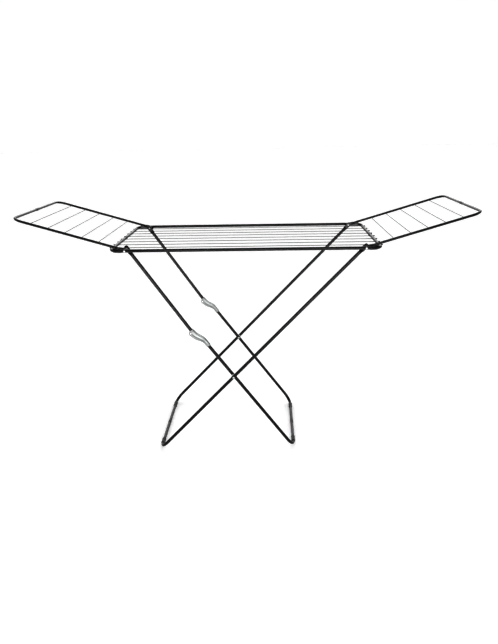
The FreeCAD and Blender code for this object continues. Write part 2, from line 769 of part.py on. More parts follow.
outer_placement = along_slope(right_pin, outer_angle)
tube_start = d.tab_length + d.tab_taper
crossing_spacers = []
crossing_rivets = []
rivet_bore = d.pin_radius + d.fit
outer_inside = d.outer_half_width - d.leg_radius
inner_outside = d.inner_half_width + d.leg_radius

for side_name, side in SIDES:
    tube = hooked_tube("outer_leg_%s_tube" % side_name, side, tube_start, d.outer_leg_reach,
                       d.outer_half_width, d.leg_bend, d.leg_radius, outer_placement)
    flattened_end(tube, side, d.outer_half_width, d.leg_radius, d.leg_tab_width)
    drill_across(tube, "crossing_bore", [(plus(d.outer_crossing), None)], rivet_bore)
    foot_sleeve("outer_leg_%s_foot" % side_name, side, d.outer_half_width, outer_foot)

    spacer_inside = inner_outside + d.layer_gap
    crossing_spacers.append(ring("crossing_spacer_" + side_name, d.crossing_spacer_radius, rivet_bore,
                                 spacer_inside, outer_inside, side, crossing.x, crossing.z))
    outer_face = d.outer_half_width + d.leg_radius
    step = outer_face + d.pin_head_height * STEPPED_RISE
    rivet = turned("crossing_rivet_" + side_name, [
        (plus(spacer_inside), plus(outer_face), d.pin_radius),
        (plus(outer_face), plus(step), d.pin_head_radius),
        (plus(step), plus(outer_face + d.pin_head_height), d.pin_head_radius * STEPPED_SHARE),
    ])
    rivet.Placement = FreeCAD.Placement(crossing, FreeCAD.Rotation(V(0, 0, 1), side * 90))
    crossing_rivets.append(rivet)

coupler("outer_leg_coupler", d.leg_radius, FreeCAD.Placement(outer_foot, FreeCAD.Rotation()))
group("crossing_spacers", crossing_spacers)
group("crossing_rivets", crossing_rivets)


# ---------------------------------------------------------------- inner leg, upper part

upper_placement = along_slope(left_pin, float(d.inner_angle))


def upper_tube(label, side):
    body = new_body(label)
    profile = new_sketch(body, "profile", "YZ_Plane", tube_start)
    ring_profile(profile, d.leg_radius, (side, d.inner_half_width), None)
    doc.recompute()
    feature(body, "Pad", "tube", profile, Length=d.knee_station - 1 - tube_start)
    flattened_end(body, side, d.inner_half_width, d.leg_radius, d.leg_tab_width)
    body.Placement = upper_placement
    return body


# shares of the knee eye's radius: its cut corners, and where the yoke's edges turn
EYE_CORNER = 0.5
YOKE_TOE = 0.8
YOKE_CHIN = 5.5
YOKE_NECK = 3.0


def knee_bracket(label, side):
    """A pressed channel on the upper tube's end, with two ears for the knee pin."""
    body = new_body(label)
    plate = new_sketch(body, "plate", "XZ_Plane")
    back = d.leg_radius + d.fit + d.sheet_thickness
    lead = d.knee_station - d.knee_lead
    station = d.knee_station
    eye = d.knee_eye_radius
    corner = eye * EYE_CORNER
    ear_low = d.knee_drop + eye
    outline(plate, [
        (plus(lead), minus(d.leg_radius)), (plus(station - eye), minus(ear_low - corner)),
        (plus(station - eye + corner), minus(ear_low)), (plus(station + eye - corner), minus(ear_low)),
        (plus(station + eye), minus(ear_low - corner)), (plus(station + eye), minus(d.knee_drop - corner)),
        (plus(station), minus(d.sheet_thickness)), (plus(station), plus(back)), (plus(lead), plus(back)),
    ])
    shift_along_y(plate, side, d.inner_half_width)
    doc.recompute()
    cheek = d.leg_radius + d.fit + d.sheet_thickness
    feature(body, "Pad", "block", plate, Length=cheek * 2, Midplane=True)
    room = new_sketch(body, "room", "XZ_Plane")
    beyond = d.knee_station + eye * 2
    before = lead - eye
    outline(room, [
        (plus(before), minus(ear_low + eye)), (plus(beyond), minus(ear_low + eye)),
        (plus(beyond), plus(d.leg_radius + d.fit)), (plus(before), plus(d.leg_radius + d.fit)),
    ])
    shift_along_y(room, side, d.inner_half_width)
    doc.recompute()
    cut(body, "channel", room, Length=(d.leg_radius + d.fit) * 2, Midplane=True)
    drill_across(body, "pin_bore", [(plus(d.knee_station), minus(d.knee_drop))], d.knee_pin_radius + d.fit)
    body.Placement = upper_placement
    return body


for side_name, side in SIDES:
    upper_tube("inner_leg_upper_%s_tube" % side_name, side)
    knee_bracket("knee_bracket_%s" % side_name, side)


# ---------------------------------------------------------------- inner leg, lower part

lower_placement = along_slope(step_place, lower_angle)
pin_in_lower = lower_placement.inverse().multVec(knee_pin_place)
measured_cell("knee_pin_back", -pin_in_lower.x, "knee pin behind the lower part's own origin")
measured_cell("knee_pin_drop", -pin_in_lower.z, "lower tube's axis to the knee pin")


def knee_yoke(label, side):
    """A pressed swan-neck channel: it grips the lower tube and straddles the bracket."""
    body = new_body(label)
    sheet_t = d.sheet_thickness
    drop = d.knee_pin_drop
    eye = d.knee_eye_radius
    grip_start = d.yoke_length - d.yoke_grip
    narrow_back = d.leg_radius + d.fit + sheet_t
    open_back = drop - d.knee_drop - d.leg_radius - d.fit - sheet_t - d.layer_gap - sheet_t
    corner = eye * EYE_CORNER
    room_beyond = eye * 3

    def channel_outline(sketch, inset, low, far):
        """The side view; inset lowers the back, low and far push the other edges out."""
        outline(sketch, [
            (minus(d.yoke_lead + far), minus(open_back + inset)),
            (minus(d.yoke_lead + far), minus(drop + low)),
            (minus(corner), minus(drop + eye + low)),
            (plus(eye * YOKE_TOE), minus(drop + eye + low)),
            (plus(eye * YOKE_CHIN), minus(drop - corner + low)),
            (plus(grip_start), minus(d.leg_radius + low)),
            (plus(d.yoke_length + far), minus(d.leg_radius + low)),
            (plus(d.yoke_length + far), plus(narrow_back - inset)),
            (plus(grip_start - corner), plus(narrow_back - inset)),
            (plus(eye * YOKE_NECK), minus(open_back - sheet_t + inset)),
        ])

    plate = new_sketch(body, "plate", "XZ_Plane")
    channel_outline(plate, 0, 0, 0)
    shift_along_y(plate, side, d.inner_half_width)
    doc.recompute()
    wide = d.leg_radius + d.fit + sheet_t + d.layer_gap
    feature(body, "Pad", "block", plate, Length=(wide + sheet_t) * 2, Midplane=True)

    room = new_sketch(body, "room", "XZ_Plane")
    channel_outline(room, sheet_t, room_beyond, room_beyond)
    shift_along_y(room, side, d.inner_half_width)
    doc.recompute()
    cut(body, "channel", room, Length=wide * 2, Midplane=True)
    drill_across(body, "pin_bore", [(minus(d.knee_pin_back), minus(drop))], d.knee_pin_radius + d.fit)
    body.Placement = lower_placement
    return body


crossing_caps = []
knee_pins = []
for side_name, side in SIDES:
    tube = hooked_tube("inner_leg_lower_%s_tube" % side_name, side, d.yoke_length - d.yoke_grip,
                       d.lower_leg_reach, d.inner_half_width, d.leg_bend, d.leg_radius, lower_placement)
    drill_across(tube, "crossing_bore", [(plus(d.lower_crossing), None)], rivet_bore)
    knee_yoke("knee_yoke_%s" % side_name, side)
    foot_sleeve("inner_leg_%s_foot" % side_name, side, d.inner_half_width, inner_foot)

    inner_face = d.inner_half_width - d.leg_radius
    step = inner_face - d.pin_head_height * STEPPED_RISE
    cap = turned("crossing_cap_" + side_name, [
        (plus(inner_face - d.pin_head_height), plus(step), d.pin_head_radius * STEPPED_SHARE),
        (plus(step), plus(inner_face), d.pin_head_radius),
        (plus(inner_face), plus(inner_outside), d.pin_radius),
    ])
    cap.Placement = FreeCAD.Placement(crossing, FreeCAD.Rotation(V(0, 0, 1), side * 90))
    crossing_caps.append(cap)

    yoke_reach = d.leg_radius + d.fit + d.sheet_thickness * 2 + d.layer_gap
    yoke_inside = d.inner_half_width - yoke_reach
    yoke_outside = d.inner_half_width + yoke_reach
    pin = turned("knee_pin_" + side_name, [
        (plus(yoke_inside - d.knee_head_height), plus(yoke_inside), d.knee_head_radius),
        (plus(yoke_inside), plus(yoke_outside), d.knee_pin_radius),
        (plus(yoke_outside), plus(yoke_outside + d.knee_head_height), d.knee_head_radius),
    ])
    pin.Placement = FreeCAD.Placement(knee_pin_place, FreeCAD.Rotation(V(0, 0, 1), side * 90))
    knee_pins.append(pin)

coupler("inner_leg_coupler", d.leg_radius, FreeCAD.Placement(inner_foot, FreeCAD.Rotation()))
group("crossing_caps", crossing_caps)
group("knee_pins", knee_pins)


# ---------------------------------------------------------------- checks and export

doc.recompute()

faults = ["%s: %s" % (item.Label, item.State) for item in doc.Objects
          if "Invalid" in item.State or "Error" in item.State]
if faults:
    raise RuntimeError("objects that failed: " + "; ".join(faults))

grouped = [member for item in doc.Objects if item.TypeId == "Part::Compound" for member in item.Links]
subparts = [item for item in doc.Objects
            if item.TypeId in ("PartDesign::Body", "Part::Compound", "Part::Feature")
            and item not in grouped]
for item in subparts:
    if item.Shape.isNull() or not item.Shape.isValid() or not item.Shape.Solids:
        raise RuntimeError("%s has no valid solid" % item.Label)

os.makedirs("parts", exist_ok=True)
for item in subparts:
    item.Shape.exportStep("parts/%s.step" % item.Label)

print("%d sub-parts" % len(subparts))
print("knee pin", knee_pin_place, "crossing", crossing)
print("outer leg angle %.4f, lower leg angle %.4f" % (outer_angle, lower_angle))
for alias in measured:
    print(alias, sheet.get(alias))
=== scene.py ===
"""A winged clothes airer: black steel tube, thin wires and a leg that breaks at a knee.

The sections follow the airer as it is put together, and each makes one piece or one
group of like pieces.  Lengths are in metres, X along the airer, Y across it, Z up.
"""

import math

import bmesh
import bpy
from mathutils import Matrix, Vector


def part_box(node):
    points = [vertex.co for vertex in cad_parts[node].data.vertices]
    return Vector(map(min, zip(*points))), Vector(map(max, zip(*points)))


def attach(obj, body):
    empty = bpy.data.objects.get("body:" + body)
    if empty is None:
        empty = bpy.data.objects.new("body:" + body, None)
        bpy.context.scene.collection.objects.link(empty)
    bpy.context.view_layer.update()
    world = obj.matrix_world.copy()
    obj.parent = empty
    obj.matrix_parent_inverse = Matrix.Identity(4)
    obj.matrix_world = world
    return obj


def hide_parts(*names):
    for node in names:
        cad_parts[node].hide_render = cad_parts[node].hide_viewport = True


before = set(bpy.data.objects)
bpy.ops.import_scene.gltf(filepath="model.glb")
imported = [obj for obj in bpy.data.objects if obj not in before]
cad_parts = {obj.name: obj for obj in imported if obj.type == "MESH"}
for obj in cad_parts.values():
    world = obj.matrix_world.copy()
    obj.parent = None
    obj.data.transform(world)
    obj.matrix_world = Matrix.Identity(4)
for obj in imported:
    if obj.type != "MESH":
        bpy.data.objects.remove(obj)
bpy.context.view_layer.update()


# ------------------------------------------------------------------ centre frame tubes
# Two half hoops of 12 mm steel tube, bent at the corners and stove enamelled in gloss
# black.  Their ends meet in a sleeve in the middle of each end bar.

class Socket:
    """One output of a node.  Sums on it, and their reflected forms, add Math nodes."""

    def __init__(self, nodes, output):
        self.nodes = nodes
        self.output = output

    def __add__(self, other):
        return self.nodes.math("ADD", self, other)

    def __radd__(self, other):
        return self.nodes.math("ADD", other, self)

    def __sub__(self, other):
        return self.nodes.math("SUBTRACT", self, other)

    def __rsub__(self, other):
        return self.nodes.math("SUBTRACT", other, self)

    def __mul__(self, other):
        return self.nodes.math("MULTIPLY", self, other)

    def __rmul__(self, other):
        return self.nodes.math("MULTIPLY", other, self)

    def __truediv__(self, other):
        return self.nodes.math("DIVIDE", self, other)

    def __rtruediv__(self, other):
        return self.nodes.math("DIVIDE", other, self)

    def __pow__(self, other):
        return self.nodes.math("POWER", self, other)

    def __rpow__(self, other):
        return self.nodes.math("POWER", other, self)

    def __lt__(self, other):
        return self.nodes.math("LESS_THAN", self, other)

    def __gt__(self, other):
        return self.nodes.math("GREATER_THAN", self, other)


class Nodes:
    """A node tree that is built by calls."""

    def __init__(self, tree):
        self.tree = tree
        tree.nodes.clear()

    def add(self, kind, settings=None, values=None, output=0):
        """One node: its settings first, then the numbers or links of its sockets."""
        node = self.tree.nodes.new(kind)
        for name, value in (settings or {}).items():
            if name == "stops":
                for stop, (place, colour) in zip(node.color_ramp.elements, value):
                    stop.position, stop.color = place, colour
            else:
                setattr(node, name, value)
        for name, value in (values or {}).items():
            if isinstance(value, Socket):
                self.tree.links.new(value.output, node.inputs[name])
            else:
                node.inputs[name].default_value = value
        if not node.outputs:
            return node
        return Socket(self, node.outputs[output])

    def math(self, operation, *values):
        return self.add("ShaderNodeMath", {"operation": operation}, dict(enumerate(values)))

    def step(self, value, start, end):
        """0 where value is start, 1 where it is end, smooth between."""
        return self.add("ShaderNodeMapRange", {"interpolation_type": "SMOOTHSTEP"},
                        {"Value": value, "From Min": start, "From Max": end})

    def blend(self, share, first, second):
        """A colour between first and second; a Mix node's colour sockets go by number."""
        return self.add("ShaderNodeMix", {"data_type": "RGBA"},
                        {0: share, 6: first, 7: second}, output=2)


def enamel_material(name, colour, gloss, grain, shine):
    """Paint: a deep colour, a faint orange peel and a few dull rubbed patches."""
    patch_scale = 38.0
    rub_start, rub_full, rub_share = 0.62, 0.74, 0.7
    peel_strength, peel_depth = 0.22, 0.00012
    material = bpy.data.materials.new(name)
    material.use_nodes = True
    n = Nodes(material.node_tree)
    place = n.add("ShaderNodeTexCoord", output="Object")
    peel = n.add("ShaderNodeTexNoise", None, {"Vector": place, "Scale": grain, "Detail": 2.0})
    cloud = n.add("ShaderNodeTexNoise", None, {"Vector": place, "Scale": patch_scale, "Detail": 4.0})
    rubbed = n.step(cloud, rub_start, rub_full)
    worn = [channel * 1.8 + 0.002 for channel in colour]
    paint = n.blend(rubbed * rub_share, (*colour, 1.0), (*worn, 1.0))
    bump = n.add("ShaderNodeBump", None,
                 {"Strength": peel_strength, "Distance": peel_depth, "Height": peel})
    shader = n.add("ShaderNodeBsdfPrincipled", None,
                   {"Base Color": paint, "Roughness": gloss + cloud * 0.10 + rubbed * 0.12,
                    "Normal": bump, "Specular IOR Level": shine})
    n.add("ShaderNodeOutputMaterial", None, {"Surface": shader})
    return material


black_enamel = enamel_material("black_enamel", (0.0065, 0.0065, 0.007), gloss=0.20, grain=700.0,
                               shine=0.20)


def node_tree(name, sizes):
    """An empty geometry tree with named inputs; gives its maker and its input sockets."""
    tree = bpy.data.node_groups.new(name, "GeometryNodeTree")
    tree.interface.new_socket("Geometry", in_out="INPUT", socket_type="NodeSocketGeometry")
    tree.interface.new_socket("Geometry", in_out="OUTPUT", socket_type="NodeSocketGeometry")
    for size_name, kind in sizes.items():
        tree.interface.new_socket(size_name, in_out="INPUT", socket_type="NodeSocket" + kind)
    n = Nodes(tree)
    group_input = tree.nodes.new("NodeGroupInput")
    return n, {socket.name: Socket(n, socket) for socket in group_input.outputs if socket.name}


SHARP_EDGE = math.radians(38)


def smooth_and_paint(n, mesh, material):
    """Ends a tree: soft shading except at sharp edges, real geometry, and the material."""
    bend = n.add("GeometryNodeInputMeshEdgeAngle", output="Unsigned Angle")
    faces = n.add("GeometryNodeSetShadeSmooth", {"domain": "FACE"},
                  {"Geometry": mesh, "Shade Smooth": True})
    edges = n.add("GeometryNodeSetShadeSmooth", {"domain": "EDGE"},
                  {"Geometry": faces, "Shade Smooth": bend < SHARP_EDGE})
    real = n.add("GeometryNodeRealizeInstances", None, {"Geometry": edges})
    painted = n.add("GeometryNodeSetMaterial", None, {"Geometry": real, "Material": material})
    n.add("NodeGroupOutput", None, {"Geometry": painted})


def grown(name, base, tree, sizes):
    """A piece that a tree makes from a base mesh, kept as a plain mesh."""
    piece = bpy.data.objects.new(name, base)
    bpy.context.scene.collection.objects.link(piece)
    modifier = piece.modifiers.new(tree.name, "NODES")
    modifier.node_group = tree
    for socket in tree.interface.items_tree:
        if socket.in_out == "INPUT" and socket.name in sizes:
            modifier[socket.identifier] = sizes[socket.name]
    ready = piece.evaluated_get(bpy.context.evaluated_depsgraph_get())
    mesh = bpy.data.meshes.new_from_object(ready)
    piece.modifiers.clear()
    piece.data = mesh
    mesh.name = name
    for spare in [item.name for item in mesh.attributes if item.name in ("bend", "cuts", "thick")]:
        mesh.attributes.remove(mesh.attributes[spare])
    return piece


def chains(name, lines, **point_values):
    """A base mesh of open lines, with a value of each name for every point."""
    mesh = bpy.data.meshes.new(name)
    points = [point for line in lines for point in line]
    edges, first = [], 0
    for line in lines:
        edges += [(first + i, first + i + 1) for i in range(len(line) - 1)]
        first += len(line)
    mesh.from_pydata(points, edges, [])
    for value_name, values in point_values.items():
        kind = "INT" if value_name == "cuts" else "FLOAT"
        mesh.attributes.new(value_name, kind, "POINT").data.foreach_set("value", values)
    return mesh


ACROSS = Vector((0, 1, 0))
BEND_STEPS = 14
ALMOST_ONE = 1.0004


def bent_tube_tree():
    """Tube along a line: its corners are bent, and the end at the pin is pressed flat."""
    n, size = node_tree("Bent tube", {
        "Radius": "Float", "Sides": "Int", "Pin": "Vector", "Along": "Vector", "Flat end": "Float",
        "Taper": "Float", "Flat thickness": "Float", "Flat width": "Float", "Tip": "Float",
        "Material": "Material"})
    line = n.add("GeometryNodeMeshToCurve", None, {"Mesh": size["Geometry"]})
    bend = n.add("GeometryNodeInputNamedAttribute", {"data_type": "FLOAT"}, {"Name": "bend"})
    cuts = n.add("GeometryNodeInputNamedAttribute", {"data_type": "INT"}, {"Name": "cuts"})
    line = n.add("GeometryNodeSubdivideCurve", None, {"Curve": line, "Cuts": cuts})
    line = n.add("GeometryNodeFilletCurve", {"mode": "POLY"},
                 {"Curve": line, "Count": BEND_STEPS, "Radius": bend})
    ring = n.add("GeometryNodeCurvePrimitiveCircle", None,
                 {"Resolution": size["Sides"], "Radius": size["Radius"]})
    tube = n.add("GeometryNodeCurveToMesh", None,
                 {"Curve": line, "Profile Curve": ring, "Fill Caps": True})

    def vector(operation, first, second, output=0):
        return n.add("ShaderNodeVectorMath", {"operation": operation}, {0: first, 1: second}, output)

    def scaled(first, factor):
        return n.add("ShaderNodeVectorMath", {"operation": "SCALE"}, {0: first, "Scale": factor})

    from_pin = vector("SUBTRACT", n.add("GeometryNodeInputPosition"), size["Pin"])
    across = vector("DOT_PRODUCT", from_pin, tuple(ACROSS), "Value")
    side_way = vector("CROSS_PRODUCT", size["Along"], tuple(ACROSS))
    side = vector("DOT_PRODUCT", from_pin, side_way, "Value")
    along = vector("DOT_PRODUCT", from_pin, size["Along"], "Value")
    flat = n.step(along, size["Flat end"] + size["Taper"], size["Flat end"])
    room = size["Radius"] + (size["Flat thickness"] / 2 - size["Radius"]) * flat
    pressed = n.math("MAXIMUM", n.math("MINIMUM", across, room), 0 - room)
    half_width = size["Flat width"] / 2
    spread = 1 + (half_width / size["Radius"] - 1) * flat
    from_tip = n.math("MINIMUM", (along + size["Tip"]) / half_width, 1.0)
    rounded = n.math("SQRT", ALMOST_ONE - (1 - n.math("MAXIMUM", from_tip, 0.0)) ** 2)
    moved = vector("ADD", scaled(size["Along"], along), scaled(side_way, side * spread * rounded))
    moved = vector("ADD", vector("ADD", moved, scaled(tuple(ACROSS), pressed)), size["Pin"])
    near_pin = along < size["Flat end"] + size["Taper"]
    tube = n.add("GeometryNodeSetPosition", None,
                 {"Geometry": tube, "Selection": near_pin, "Position": moved})
    smooth_and_paint(n, tube, size["Material"])
    return n.tree


tube_tree = bent_tube_tree()
FAR_AWAY = Vector((0, 0, -100))   # the pin of a tube that has no flattened end

SIDES = (("front", -1), ("rear", 1))
FRAME_HEIGHT = 0.880
FRAME_REACH = 0.508
FRAME_RAIL = 0.260
FRAME_TUBE = 0.006
FRAME_BEND = 0.035

for side_name, side in SIDES:
    hoop = [Vector((-FRAME_REACH, 0, FRAME_HEIGHT)),
            Vector((-FRAME_REACH, side * FRAME_RAIL, FRAME_HEIGHT)),
            Vector((FRAME_REACH, side * FRAME_RAIL, FRAME_HEIGHT)),
            Vector((FRAME_REACH, 0, FRAME_HEIGHT))]
    base = chains("hoop", [hoop], bend=[0, FRAME_BEND, FRAME_BEND, 0], cuts=[0, 0, 0, 0])
    rail = grown(side_name + "_rail", base, tube_tree, {
        "Radius": FRAME_TUBE, "Sides": 32, "Pin": tuple(FAR_AWAY), "Along": (0.0, 0.0, 1.0),
        "Flat width": 2 * FRAME_TUBE, "Flat thickness": 2 * FRAME_TUBE, "Taper": 0.001,
        "Material": black_enamel})
    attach(rail, "frame")
    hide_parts(side_name + "_frame_tube")


# ------------------------------------------------------------------ drying wires
# Eight long wires of the centre frame, coated in satin black.  Each goes through both
# end bars, ends in an upset head, and the coating runs up a little where it enters.

black_wire = enamel_material("black_wire", (0.010, 0.010, 0.0105), gloss=0.34, grain=1500.0,
                             shine=0.12)


def turned_pieces_tree():
    """Round pieces along lines, as thick as the lines say, repeated at even steps."""
    n, size = node_tree("Turned pieces", {
        "Sides": "Int", "Count": "Int", "First": "Vector", "Step": "Vector", "Material": "Material"})
    line = n.add("GeometryNodeMeshToCurve", None, {"Mesh": size["Geometry"]})
    thick = n.add("GeometryNodeInputNamedAttribute", {"data_type": "FLOAT"}, {"Name": "thick"})
    line = n.add("GeometryNodeSetCurveRadius", None, {"Curve": line, "Radius": thick})
    ring = n.add("GeometryNodeCurvePrimitiveCircle", None,
                 {"Resolution": size["Sides"], "Radius": 1.0})
    radius = n.add("GeometryNodeInputRadius")
    piece = n.add("GeometryNodeCurveToMesh", None,
                  {"Curve": line, "Profile Curve": ring, "Scale": radius, "Fill Caps": True})
    places = n.add("GeometryNodeMeshLine", {"mode": "OFFSET"},
                   {"Count": size["Count"], "Start Location": size["First"], "Offset": size["Step"]})
    row = n.add("GeometryNodeInstanceOnPoints", None, {"Points": places, "Instance": piece})
    smooth_and_paint(n, row, size["Material"])
    return n.tree


turned_tree = turned_pieces_tree()


def turned(name, axis, outlines, material, sides=32, count=1, first=(0, 0, 0), step=(0, 0, 0)):
    """Round pieces about lines along axis; an outline lists (place along, radius)."""
    lines = [[centre + axis * along for along, _ in outline] for centre, outline in outlines]
    radii = [radius for _, outline in outlines for _, radius in outline]
    return grown(name, chains(name, lines, thick=radii), turned_tree, {
        "Sides": sides, "Count": count, "First": tuple(first), "Step": tuple(step),
        "Material": material})


def both_ways(half):
    """A symmetric outline from its outer half, which is listed from the end inwards."""
    return [(-along, radius) for along, radius in half] + half[::-1]


WIRE = 0.0011
WIRE_HEAD = 0.0023
WIRE_SIDES = 14
CENTRE_WIRES = 8
BAR_OUT = FRAME_REACH + FRAME_TUBE
BAR_IN = FRAME_REACH - FRAME_TUBE
centre_wire = both_ways([
    (BAR_OUT + 0.0080, 0.0004), (BAR_OUT + 0.0079, 0.0013), (BAR_OUT + 0.0075, 0.0019),
    (BAR_OUT + 0.0066, WIRE_HEAD), (BAR_OUT + 0.0012, WIRE_HEAD), (BAR_OUT + 0.0004, 0.0019),
    (BAR_OUT - 0.0006, WIRE), (BAR_IN + 0.0004, WIRE), (BAR_IN + 0.0002, 0.0022),
    (BAR_IN - 0.0006, 0.0019), (BAR_IN - 0.0018, 0.0014), (BAR_IN - 0.0036, 0.0012),
    (BAR_IN - 0.0060, WIRE)])
first_wire = sum(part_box("centre_wire_1"), Vector()) / 2
last_wire = sum(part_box("centre_wire_8"), Vector()) / 2
centre_wires = turned("centre_wires", Vector((1, 0, 0)), [(Vector(), centre_wire)], black_wire,
                      WIRE_SIDES, CENTRE_WIRES, first_wire,
                      (last_wire - first_wire) / (CENTRE_WIRES - 1))
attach(centre_wires, "frame")
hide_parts(*["centre_wire_%d" % number for number in range(1, 9)])


# ------------------------------------------------------------------ wings
# Each wing is two half hoops of thinner tube, flattened where the pivot pin goes
# through, with five short wires that end in the inner walls of the tube.

def slope_frame(start, angle):
    """Places on a part that leaves start downwards at angle, and the way along the part."""
    along = Vector((math.cos(angle), 0, -math.sin(angle)))
    above = Vector((math.sin(angle), 0, math.cos(angle)))
    return (lambda u, y, v=0.0: start + along * u + above * v + ACROSS * y), along


ENDS = (("left", -1), ("right", 1))
PIN_REACH = 0.451
WING_TUBE = 0.00475
WING_REACH = 0.434
WING_SIDE = 0.24725
WING_BEND = 0.038
WING_RISE = math.radians(16.5)
TAB_THICK = 0.0024
TAB_TIP = 0.013
TAB_LENGTH = 0.014
TAB_TAPER = 0.016
TAB_CUTS = 34
WING_TAB_WIDTH = 0.014
WING_WIRES = 5

wing_wire = both_ways([
    (WING_SIDE - WING_TUBE / 2, WIRE), (WING_SIDE - WING_TUBE + 0.0004, WIRE),
    (WING_SIDE - WING_TUBE + 0.0002, 0.0021), (WING_SIDE - WING_TUBE - 0.0006, 0.0018),
    (WING_SIDE - WING_TUBE - 0.0018, 0.0014), (WING_SIDE - WING_TUBE - 0.0036, 0.0012),
    (WING_SIDE - WING_TUBE - 0.0060, WIRE)])

for end_name, end in ENDS:
    wing = end_name + "_wing"
    pin = Vector((end * PIN_REACH, 0, FRAME_HEIGHT))
    at, along = slope_frame(pin, -WING_RISE if end > 0 else math.pi + WING_RISE)
    for side_name, side in SIDES:
        y = side * WING_SIDE
        line = [at(-TAB_TIP, y), at(TAB_LENGTH + TAB_TAPER, y), at(WING_REACH, y), at(WING_REACH, 0)]
        base = chains("wing side", [line], bend=[0, 0, WING_BEND, 0], cuts=[TAB_CUTS, 0, 0, 0])
        wing_side = grown("%s_%s_side" % (wing, side_name), base, tube_tree, {
            "Radius": WING_TUBE, "Sides": 28, "Pin": tuple(pin + ACROSS * y), "Along": tuple(along),
            "Flat end": TAB_LENGTH, "Taper": TAB_TAPER, "Flat thickness": TAB_THICK,
            "Flat width": WING_TAB_WIDTH, "Tip": TAB_TIP, "Material": black_enamel})
        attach(wing_side, wing)
        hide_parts("%s_%s_tube" % (wing, side_name))

    first_wire = sum(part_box(wing + "_wire_1"), Vector()) / 2
    last_wire = sum(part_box(wing + "_wire_5"), Vector()) / 2
    wing_wires = turned(wing + "_wires", ACROSS, [(Vector(), wing_wire)], black_wire,
                        WIRE_SIDES, WING_WIRES, first_wire,
                        (last_wire - first_wire) / (WING_WIRES - 1))
    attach(wing_wires, wing)
    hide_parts(*["%s_wire_%d" % (wing, number) for number in range(1, 6)])


# ------------------------------------------------------------------ outer leg
# One U of 13 mm enamelled steel tube in two halves.  Its flattened ends hang inside the
# wings on the right-hand pins, and its foot bar lies on the left.

LEG_TUBE = 0.0065
LEG_BEND = 0.045
LEG_TAB_WIDTH = 0.018
OUTER_SIDE = 0.2345
FOOT_HEIGHT = 0.009
OUTER_FOOT = Vector((-0.3795, 0, FOOT_HEIGHT))
right_pin = Vector((PIN_REACH, 0, FRAME_HEIGHT))
outer_run = OUTER_FOOT - right_pin
outer_at, outer_along = slope_frame(right_pin, math.atan2(-outer_run.z, outer_run.x))

leg_tab = {"Flat end": TAB_LENGTH, "Taper": TAB_TAPER, "Flat thickness": TAB_THICK,
           "Flat width": LEG_TAB_WIDTH, "Tip": TAB_TIP, "Radius": LEG_TUBE, "Sides": 30,
           "Material": black_enamel}

for side_name, side in SIDES:
    y = side * OUTER_SIDE
    line = [outer_at(-TAB_TIP, y), outer_at(TAB_LENGTH + TAB_TAPER, y),
            outer_at(outer_run.length, y), outer_at(outer_run.length, 0)]
    base = chains("outer leg side", [line], bend=[0, 0, LEG_BEND, 0], cuts=[TAB_CUTS, 0, 0, 0])
    leg_side = grown("outer_leg_%s_side" % side_name, base, tube_tree,
                     {**leg_tab, "Pin": tuple(right_pin + ACROSS * y), "Along": tuple(outer_along)})
    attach(leg_side, "outer_leg")
    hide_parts("outer_leg_%s_tube" % side_name)


# ------------------------------------------------------------------ inner leg tubes
# The same enamelled tube.  The upper part is two straight lengths from the left-hand pins
# to the knee.  The lower part is a U in two halves, whose ends are held in the knee yokes
# a step above the upper tubes.

INNER_SIDE = 0.217
INNER_SLOPE = math.radians(55.9)
KNEE_STATION = 0.4147
KNEE_STEP = 0.016
KNEE_GAP = 0.001
YOKE_LENGTH = 0.084
YOKE_GRIP = 0.024
INNER_FOOT = Vector((0.1905, 0, FOOT_HEIGHT))
left_pin = Vector((-PIN_REACH, 0, FRAME_HEIGHT))
upper_at, upper_along = slope_frame(left_pin, INNER_SLOPE)
lower_start = upper_at(KNEE_STATION, 0, KNEE_STEP)
lower_run = INNER_FOOT - lower_start
lower_at, _ = slope_frame(lower_start, math.atan2(-lower_run.z, lower_run.x))

for side_name, side in SIDES:
    y = side * INNER_SIDE
    line = [upper_at(-TAB_TIP, y), upper_at(TAB_LENGTH + TAB_TAPER, y),
            upper_at(KNEE_STATION - KNEE_GAP, y)]
    base = chains("upper tube", [line], bend=[0, 0, 0], cuts=[TAB_CUTS, 0, 0])
    upper = grown("inner_leg_upper_%s_side" % side_name, base, tube_tree,
                  {**leg_tab, "Pin": tuple(left_pin + ACROSS * y), "Along": tuple(upper_along)})
    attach(upper, "inner_leg_upper")
    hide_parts("inner_leg_upper_%s_tube" % side_name)

    line = [lower_at(YOKE_LENGTH - YOKE_GRIP, y), lower_at(lower_run.length, y),
            lower_at(lower_run.length, 0)]
    base = chains("lower tube", [line], bend=[0, LEG_BEND, 0], cuts=[0, 0, 0])
    lower = grown("inner_leg_lower_%s_side" % side_name, base, tube_tree,
                  {**leg_tab, "Pin": tuple(FAR_AWAY), "Along": (0.0, 0.0, 1.0)})
    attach(lower, "inner_leg_lower")
    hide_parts("inner_leg_lower_%s_tube" % side_name)


# ------------------------------------------------------------------ tube sleeves
# Short enamelled sleeves that join two tube ends in the middle of every cross bar.
# Each is rolled down in a groove near both ends, which grips the tubes inside.

SLEEVE_HALF = 0.013
SLEEVE_WALL = 0.0007

